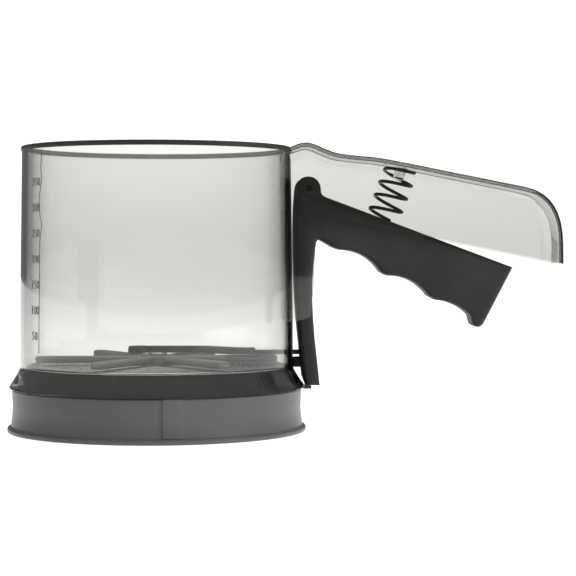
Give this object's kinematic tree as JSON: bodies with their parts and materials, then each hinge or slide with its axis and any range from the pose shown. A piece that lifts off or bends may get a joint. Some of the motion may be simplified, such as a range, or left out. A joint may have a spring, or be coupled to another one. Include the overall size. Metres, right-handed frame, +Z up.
{
  "type": "flour sifter",
  "caption": "Hand-held flour sifter: clear cup with a moulded handle, squeeze trigger, paddle agitator over a woven sieve, and a push-on base cap.",
  "frame": {"origin": "cup axis, on the plane that the base cap rests on", "axes": "+Z up along the cup axis, +X along the handle away from the cup"},
  "size_m": [0.232, 0.1246, 0.12],
  "materials": {
    "clear_smoke": "clear, smoke tinted, polished",
    "charcoal_plastic": "fine matt",
    "grey_plastic": "satin",
    "paddle_grey": "satin",
    "stainless": "bright woven wire",
    "spring_steel": "dark drawn wire"
  },
  "bodies": {
    "body": {"cup": "clear_smoke", "handle_shell": "clear_smoke", "pivot_pin": "spring_steel", "return_spring": "spring_steel", "sieve_frame": "grey_plastic", "mesh_rim": "stainless", "sieve_mesh": "stainless", "agitator_rivet": "stainless", "upper_washer": "stainless", "lower_washer": "stainless"},
    "trigger": {"trigger_lever": "charcoal_plastic"},
    "link": {"drive_link": "charcoal_plastic", "link_pin": "spring_steel"},
    "paddles": {"agitator": "paddle_grey"},
    "cap": {"base_cap": "grey_plastic"}
  },
  "joints": [
    {"name": "trigger_squeeze", "type": "hinge", "parent": "body", "child": "trigger", "pos_m": [0.063, 0, 0.1006], "axis": [0, -1, 0], "range_deg": [0, 13.75], "stiffness_Nm_per_rad": 0.65, "springref_deg": -8.59, "deforming": ["return_spring"]},
    {"name": "link_slide", "type": "slide", "parent": "body", "child": "link", "axis": [1, 0, 0], "range_m": [0, 0.01674]},
    {"name": "agitator_turn", "type": "hinge", "parent": "body", "child": "paddles", "pos_m": [0, 0, 0.028], "axis": [0, 0, -1], "range_deg": [0, 67.7]},
    {"name": "base_cap_pull", "type": "slide", "parent": "body", "child": "cap", "axis": [0, 0, -1], "range_m": [0, 0.03]}
  ],
  "couplings": [
    {"joint": "link_slide", "follows": "trigger_squeeze", "m_per_rad": 0.06954},
    {"joint": "agitator_turn", "follows": "trigger_squeeze", "ratio": 4.9162}
  ]
}
